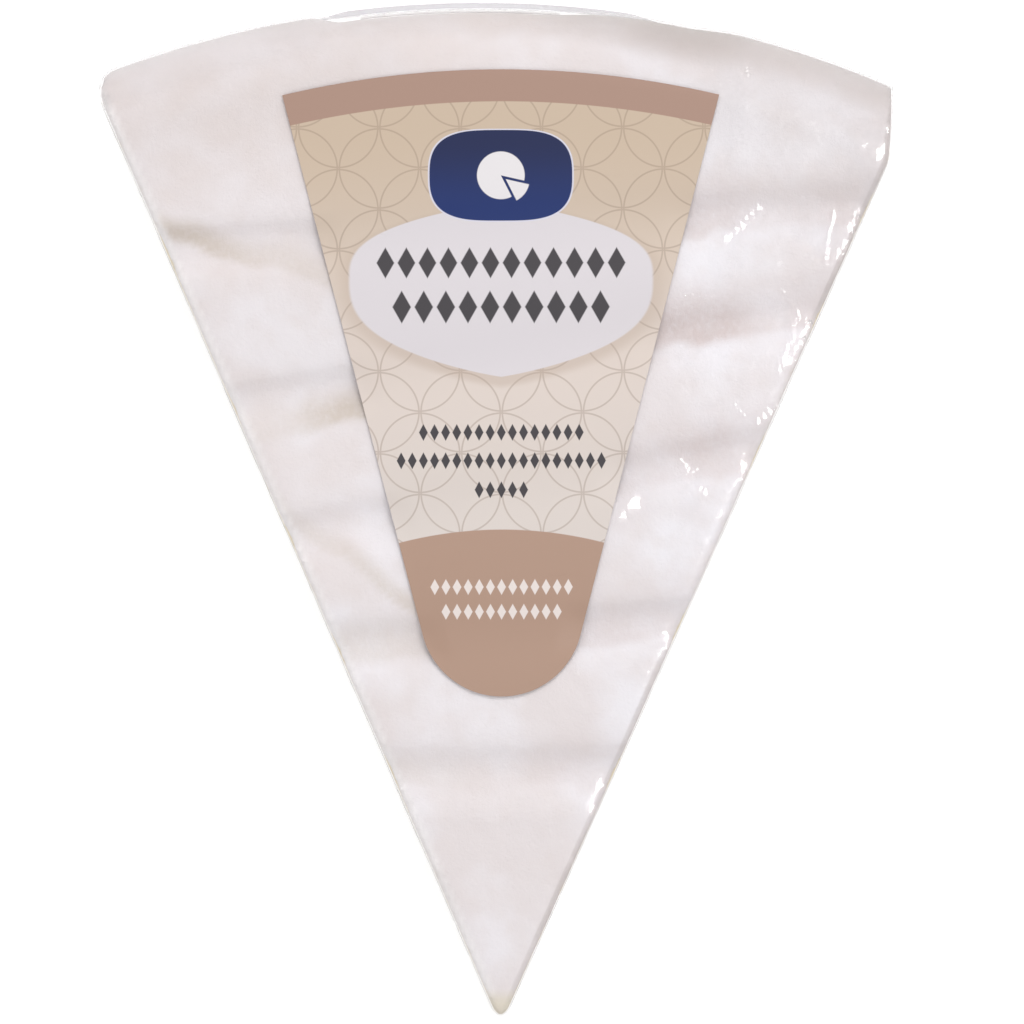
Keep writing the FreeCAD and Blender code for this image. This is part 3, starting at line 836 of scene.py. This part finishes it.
def build_cheese():
    """The cheese, and its smooth outside for the film to follow."""
    points, faces = remeshed("cheese", 0.6)
    points = relaxed(points, faces, 1)
    normals = normals_of(points, faces)
    upright = 1 - np.abs(normals[:, 2])
    on_top = smooth(0.6, 0.9, normals[:, 2])
    out = faces_out(points, normals)
    turn = round_wheel(points)
    felt = noise(points, *FELT_FINE) * 0.5 + noise(points, *FELT_COARSE) * 0.5
    broad = noise(points, *SWELL)
    sunk = 0.08 * (1 + felt) / 2 + 0.14 * (1 + broad) / 2
    right_end, left_end = (smooth(*end, turn) for end in BEHIND_BEAD)
    sealed = right_end * left_end * smooth(0.5, 0.9, out)
    sunk -= SIDE_SWELL * upright * (1 - sealed) + rim_room(points, normals)
    moved = within_film(points - normals * sunk[:, None], 0.3)
    made = new_object("cheese_wedge", moved, faces, cheese_material(), ["cheese"])

    across, ahead = in_wedge(points).T
    left, right = cut_distance(points, -1), cut_distance(points, 1)
    cut = smooth(0.9, 0.3, np.minimum(left, right)) * smooth(0.6, 0.3, np.abs(normals[:, 2]))
    # Painted sheen on the right and, up to some way ahead, on the left.
    left_sheen = 0.5 * smooth(*SHEEN_LEFT, ahead + 3 * noise(points, *SHEEN_WANDER))
    painted_sheen = np.maximum(left_sheen, smooth(*SHEEN_RIGHT, across)) * on_top
    lined = 0.6 * smooth(*LINE_BY_RIM, ahead) * (1 - 0.4 * smooth(*LINE_PALER_END, ahead))
    lined += 0.4 * smooth(*LINE_BY_TIP, ahead)
    store(made, "plan", points)
    store(made, "shade", rack_shade(points) * on_top)
    store(made, "painted_sheen", painted_sheen * (0.85 + 0.3 * noise(points, *SHEEN_PATCHES)))
    store(made, "cut", cut * smooth(0.8, 0.6, out))
    store(made, "skin", skin_distance(points))
    store(made, "tip", smooth(*TIP_END, ahead))
    # Painted shade round the rim, and a little darkening elsewhere.
    store(made, "rim", rim_shade(points))
    # Painted light along the left cut's edge.
    store(made, "pale", 0.6 * smooth(*PAINTED_EDGE_LIGHT_FADE, left))
    store(made, "side", right_edge_distance(points))
    store(made, "lined", lined * (0.75 + 0.25 * noise(points, *LINE_PATCHES)))
    return points, faces, normals


# Glinting creases of the film's top, in millimetres across and ahead of the apex: where a
# row of short folds starts and ends, how many there are, and one's width and half length.
CREASES = (
    ((24.4, 88.6), (28.6, 92.4), 7, 0.75, 1.0),
    ((37.0, 91.6), (35.8, 86.2), 5, 0.42, 1.4),
    ((39.9, 91.4), (38.3, 87.2), 4, 0.4, 1.2),
    ((33.2, 80.8), (30.8, 73.4), 8, 0.5, 1.5),
    ((31.0, 70.0), (28.2, 67.4), 4, 0.6, 0.9),
    ((19.8, 63.8), (22.6, 59.8), 8, 0.36, 0.7),
    ((20.2, 62.0), (22.0, 62.6), 3, 0.4, 0.4),
    ((15.0, 60.0), (12.9, 56.8), 5, 1.2, 1.5),
    ((25.6, 70.2), (27.2, 68.6), 4, 0.25, 0.4),
    ((30.8, 83.4), (32.2, 81.4), 4, 0.28, 0.4),
    ((19.2, 82.6), (24.4, 82.0), 7, 0.2, 0.35),
    ((34.4, 94.6), (38.4, 93.4), 4, 0.2, 0.5),
    ((22.8, 107.6), (24.2, 106.4), 4, 0.28, 0.5),
    ((26.6, 108.0), (27.4, 106.6), 2, 0.25, 0.5),
)


def short_folds():
    """Middle, width, half length and turn of each short fold in the film."""
    chance = np.random.default_rng(7)
    for start, end, count, width, length in CREASES:
        line = np.array(end) - start
        for step in range(count):
            middle = start + line * (step + 0.5) / count + chance.normal(0, 0.1, 2)
            size = chance.uniform(0.6, 1.2)
            yield middle, width * size, length * size, chance.normal(0, 0.2)


def crease_height(places, chosen):
    """Height of the short folds: a gentle flank on the right and a steep one on the left."""
    height = np.zeros(len(places))
    nearby = places[chosen]
    for middle, width, length, turn in short_folds():
        away = nearby - middle
        across = math.cos(turn) * away[:, 0] + math.sin(turn) * away[:, 1]
        along = math.cos(turn) * away[:, 1] - math.sin(turn) * away[:, 0]
        wide = width * np.clip(1 - (along / length) ** 2, 0, 1)
        ridge = FOLD_SLOPE * np.minimum(wide - across, wide + 3 * across)
        height[chosen] = np.maximum(height[chosen], ridge)
    return height


def near_folds(places, margin):
    """Whether places lie close to a short fold."""
    near = np.zeros(len(places), bool)
    for middle, width, length, _ in short_folds():
        near |= np.linalg.norm(places - middle, axis=1) < max(width, length) + margin
    return near


def build_film(points, faces, normals, material):
    """The film's outer side, tight over the cheese and free over the rack marks."""
    centres = points[faces].mean(axis=1)
    on_top = normals[faces[:, 0], 2] > 0.5
    chosen = near_folds(in_wedge(centres), 0.5) & on_top
    points, faces, normals = refined(points, faces, chosen, 5)
    place = in_wedge(points)
    across, ahead = place.T
    up = smooth(0.5, 0.95, normals[:, 2])
    free = 1 - label_share(points, 2.5)
    lift = FILM_OFF - TOP_CLOSER * up + RACK_SPAN * groove(points) * up
    lift += 0.05 * smooth(8, 26, across) * up * free * (1 + noise(points, *FILM_LOOSE))
    room = rim_room(points, normals)
    bulging = smooth(0, 0.3, room)
    lift += room + 0.12 * bulging
    turn = round_wheel(points)
    gathers = np.cos(np.radians(turn * 36 + 40 * noise(points, *FILM_GATHERS))) ** 3
    lift += 0.08 * bulging * gathers * smooth(24, 14, points[:, 2])
    low_down = smooth(27, 20, points[:, 2]) * (1 - np.abs(normals[:, 2])) * (1 - bulging)
    waves = noise(points * np.array([1, 1, 0.45]), *SIDE_WAVES)
    leaning = points * np.array([1, 1, 0.3]) + np.outer(points[:, 2], [0.3, 0, 0])
    slack = noise(leaning, *SIDE_CREASES)
    lift += low_down * (0.04 * (1 + waves) + 0.06 * (1 - np.abs(slack)) ** 4)
    outer = points + normals * lift[:, None]
    outer[:, 2] += crease_height(place, near_folds(place, 0.2) & (normals[:, 2] > 0.5))
    outer = within_film(outer, FILM_EDGE_MARGIN)
    outer[:, 2] = np.maximum(outer[:, 2], FOOT_LEVEL)
    made = new_object("film_wrap", outer, faces, material, ["film"])
    # Painted sheen: pale streaks of haze on the right half, in place of the film's reflection.
    drawn = np.column_stack([across, 0.45 * ahead + 0.25 * across, np.zeros(len(place))])
    sheen_streaks = noise(drawn, *SHEEN_STREAKS) + 0.5 * noise(points, *SHEEN_STREAK_GRAIN)
    sheen_streaks = smooth(0.1, 0.9, sheen_streaks) * smooth(12, 24, across) * smooth(50, 62, ahead)
    store(made, "plan", points)
    store(made, "haze_and_painted_light", 0.01 + 0.15 * np.maximum(bulging, sheen_streaks * free))
    return BVHTree.FromPolygons(outer.tolist(), faces)


def laid_sheet(x, y, under, over):
    """A closed thin sheet from grids of places, lower levels and upper levels."""
    count = x.size
    upper = np.stack([x.ravel(), y.ravel(), over.ravel()], axis=1)
    lower = np.stack([x.ravel(), y.ravel(), under.ravel()], axis=1)
    points = np.concatenate([upper, lower])
    points[:, 2] = np.minimum(points[:, 2], cad_high.z / MM - 0.01)
    index = np.arange(count).reshape(x.shape)
    corners = (index[:-1, :-1], index[:-1, 1:], index[1:, 1:], index[1:, :-1])
    sheet = np.stack(corners, axis=-1).reshape(-1, 4)
    outline = [*index[0], *index[1:, -1], *index[-1, -2::-1], *index[-2:0:-1, 0]]
    pairs = zip(outline, [*outline[1:], outline[0]])
    edge = [(there, here, here + count, there + count) for here, there in pairs]
    faces = [*sheet.tolist(), *(sheet[:, ::-1] + count).tolist(), *edge]
    return points, faces


def drop_onto(ground, x, y):
    """Level of the film's top below each place of a grid."""
    level = np.zeros_like(x)
    for spot in np.ndindex(x.shape):
        hit = ground.ray_cast(Vector((x[spot], y[spot], 60)), Vector((0, 0, -1)))
        level[spot] = hit[0].z
    return level


def arc_bar(profile, turns, count):
    """Points and faces of a closed bar round the wheel's axis, of some radii and levels."""
    angles = np.linspace(turns[0], turns[1], count)
    points = [
        (radius * math.sin(angle), radius * math.cos(angle), level)
        for angle in angles
        for radius, level in profile
    ]
    size = len(profile)
    faces = []
    for step in range(count - 1):
        for side in range(size):
            here, there = step * size + side, step * size + (side + 1) % size
            faces.append((here, here + size, there + size, there))
    last = (count - 1) * size
    faces += [tuple(range(size)), tuple(range(last + size - 1, last - 1, -1))]
    return points, faces


def tapered(point, start, reach):
    """A point of the fin, drawn in towards the fin's foot near both of its ends."""
    radius = math.hypot(point[0], point[1])
    share = abs(math.atan2(point[0], point[1])) / reach
    keep = 1 - 0.9 * smooth(0.75, 1, share)
    scale = (start + (radius - start) * keep) / radius
    return point[0] * scale, point[1] * scale, point[2]


def build_seal(material):
    """The film's sealed fin round the middle of the rim, with the bead at its foot."""
    reach = SEAL_ANGLE / 2
    bead = WHEEL_RADIUS + BEAD_OUT
    start = bead + 0.2
    end = film_high.y / MM - AXIS[1] - 0.01
    low, high = SEAL_HEIGHT, SEAL_HEIGHT + FIN_THICKNESS
    fin = ((start, low), (end, low), (end, high), (start, high))
    points, faces = arc_bar(fin, (-reach, reach), 80)
    points = [tapered(point, start, reach) for point in points]
    tube = [
        (bead + BEAD_RADIUS * math.cos(turn), low + 0.5 + BEAD_RADIUS * math.sin(turn))
        for turn in np.linspace(0, 2 * math.pi, 9)[:-1]
    ]
    more, more_faces = arc_bar(tube, (-0.7 * reach, 0.4 * reach), 70)
    faces += [tuple(corner + len(points) for corner in face) for face in more_faces]
    made = new_object("film_seal", points + more, faces, material, sharp=True)
    store(made, "plan", points + more)
    # The bead's near-white haze is a painted highlight where the seal's fold catches the light.
    store(made, "haze_and_painted_light", [0.5] * len(points) + [0.95] * len(more))


def fold_sheet(corners, rise, count=40):
    """A flat flap of film under the wedge between four corners, slightly uneven."""
    one, two, three, four = (np.array(corner, float) for corner in corners)
    along, across = np.meshgrid(np.linspace(0, 1, count), np.linspace(0, 1, 14), indexing="ij")
    near = one[None, None] + (two - one) * along[..., None]
    far = four[None, None] + (three - four) * along[..., None]
    place = near + (far - near) * across[..., None]
    flat = np.column_stack([place.reshape(-1, 2), np.zeros(along.size)])
    uneven = (1 + noise(flat, *FLAP_WAVES).reshape(along.shape)) / 2
    under = rise + 0.04 * uneven
    return laid_sheet(place[..., 0], place[..., 1], under, under + FLAP_THICKNESS)


def build_folds(material):
    """Flaps of film folded under the wedge from its two cuts and its rim."""

    def spot(side, ahead, inward):
        """A place beside one cut face: along it from the apex, and inwards from it."""
        half = HALF_ANGLE * side
        way = np.array([math.sin(half), math.cos(half)])
        inside = np.array([-side * math.cos(half), abs(math.sin(half))])
        return APEX + way * ahead + inside * inward

    beside_cut = ((3, 0.6), (104, 0.6), (98, HEM_WIDTH), (30, HEM_WIDTH))
    flaps = [[spot(side, *place) for place in beside_cut] for side in (-1, 1)]
    flaps.append([spot(-1, 106, 3.0), spot(1, 104, 3.0), spot(1, 94, 12.0), spot(-1, 96, 12.0)])
    all_points, all_faces = [], []
    for number, corners in enumerate(flaps):
        points, faces = fold_sheet(corners, 0.01 + FLAP_STEP * number)
        all_faces += [[corner + len(all_points) for corner in face] for face in faces]
        all_points += points.tolist()
    made = new_object("film_folds", all_points, all_faces, material, sharp=True)
    store(made, "plan", all_points)
    store(made, "haze_and_painted_light", [0.12] * len(all_points))


def build_label(ground):
    """The label as a thin sheet laid on the film."""
    rows, columns = 150, 70
    turns = np.linspace(0.02, math.pi / 2 - LABEL_SIDE, 24)
    straight = np.linspace(-LABEL_END * math.sin(LABEL_SIDE), LABEL_LENGTH, rows - 23)
    aheads = np.concatenate([-LABEL_END * np.cos(turns), straight[1:]])
    half = label_half_width(aheads)
    sides = np.linspace(-1, 1, columns)
    across = half[:, None] * sides[None, :]
    crown = smooth(0.25, 1, (aheads + LABEL_END) / (LABEL_LENGTH + LABEL_END))
    ahead = aheads[:, None] + LABEL_CROWN * crown[:, None] * (1 - sides[None, :] ** 2)
    turn, rise = math.cos(LABEL_TURN), math.sin(LABEL_TURN)
    x = LABEL_START[0] + turn * across - rise * ahead
    y = LABEL_START[1] + turn * ahead + rise * across
    film_top = drop_onto(ground, x, y) + LABEL_OFF
    top = film_top.copy()
    for _ in range(60):
        eased = top.copy()
        eased[1:-1] = (top[:-2] + 2 * top[1:-1] + top[2:]) / 4
        top = np.maximum(top, eased)
    inward = half[:, None] * (1 - np.abs(sides))[None, :]
    top = film_top + (top - film_top) * smooth(0, 3, inward)
    points, faces = laid_sheet(x, y, top, top + LABEL_THICKNESS)
    paper = label_material()
    made = new_object("label_sheet", points, faces, paper, ["label"], sharp=True)
    place = in_label(points)
    store(made, "spot", np.column_stack([place, np.zeros(len(points))]))


# --- Camera, lights and floor ------------------------------------------------


def build_stage():
    """White floor that keeps the shadow, with soft light from ahead and from the right."""
    mesh = bpy.data.meshes.new("floor")
    half = FLOOR_HALF
    corners = [(-half, -half, 0), (half, -half, 0), (half, half, 0), (-half, half, 0)]
    mesh.from_pydata(corners, [], [(0, 1, 2, 3)])
    floor = bpy.data.objects.new("floor", mesh)
    bpy.context.scene.collection.objects.link(floor)
    paint = Paint("floor")
    base = paint.surface((FLOOR_WHITE, FLOOR_WHITE, FLOOR_WHITE, 1), 0.9, 0.0)
    glow = paint.node("ShaderNodeEmission")
    glow.inputs["Color"].default_value = tint(WHITE)
    path = paint.node("ShaderNodeLightPath")
    glow_share = paint.math("MULTIPLY", path.outputs["Is Camera Ray"], FLOOR_GLOW)
    paint.plug(glow.inputs["Strength"], glow_share)
    add = paint.node("ShaderNodeAddShader")
    paint.plug(add.inputs[0], base.outputs[0])
    paint.plug(add.inputs[1], glow.outputs[0])
    paint.plug(paint.output.inputs["Surface"], add.outputs[0])
    mesh.materials.append(paint.material)
    world = bpy.data.worlds.new("world")
    bpy.context.scene.world = world
    world.use_nodes = True
    back = world.node_tree.nodes["Background"]
    back.inputs["Color"].default_value = tint(WHITE)
    back.inputs["Strength"].default_value = WORLD_LIGHT
    area_light("key", *KEY_LAMP).visible_glossy = False
    area_light("glint", *GLINT_LAMP).visible_diffuse = False


def area_light(name, place, size, power):
    """A soft four-sided lamp that points at the wedge."""
    lamp = bpy.data.lights.new(name, "AREA")
    lamp.shape = "RECTANGLE"
    lamp.size, lamp.size_y = size
    lamp.energy = power
    made = bpy.data.objects.new(name, lamp)
    made.location = place
    made.rotation_euler = (-Vector(place)).to_track_quat("-Z", "Y").to_euler()
    bpy.context.scene.collection.objects.link(made)
    return made


def build_camera():
    """Straight down, as the photo was taken."""
    data = bpy.data.cameras.new("camera")
    data.sensor_width = SENSOR
    data.lens = LENS
    camera = bpy.data.objects.new("camera", data)
    bpy.context.scene.collection.objects.link(camera)
    distance = VIEW_ACROSS * MM * LENS / SENSOR
    camera.location = (VIEW_MIDDLE[0] * MM, VIEW_MIDDLE[1] * MM, cad_high.z + distance)
    camera.rotation_euler = (0, 0, VIEW_TURN)
    bpy.context.scene.camera = camera
    bpy.context.scene.view_settings.view_transform = "Standard"


def main():
    """Builds everything."""
    points, faces, normals = build_cheese()
    film = film_material()
    ground = build_film(points, faces, normals, film)
    build_seal(film)
    build_folds(film)
    build_label(ground)
    build_stage()
    build_camera()


main()
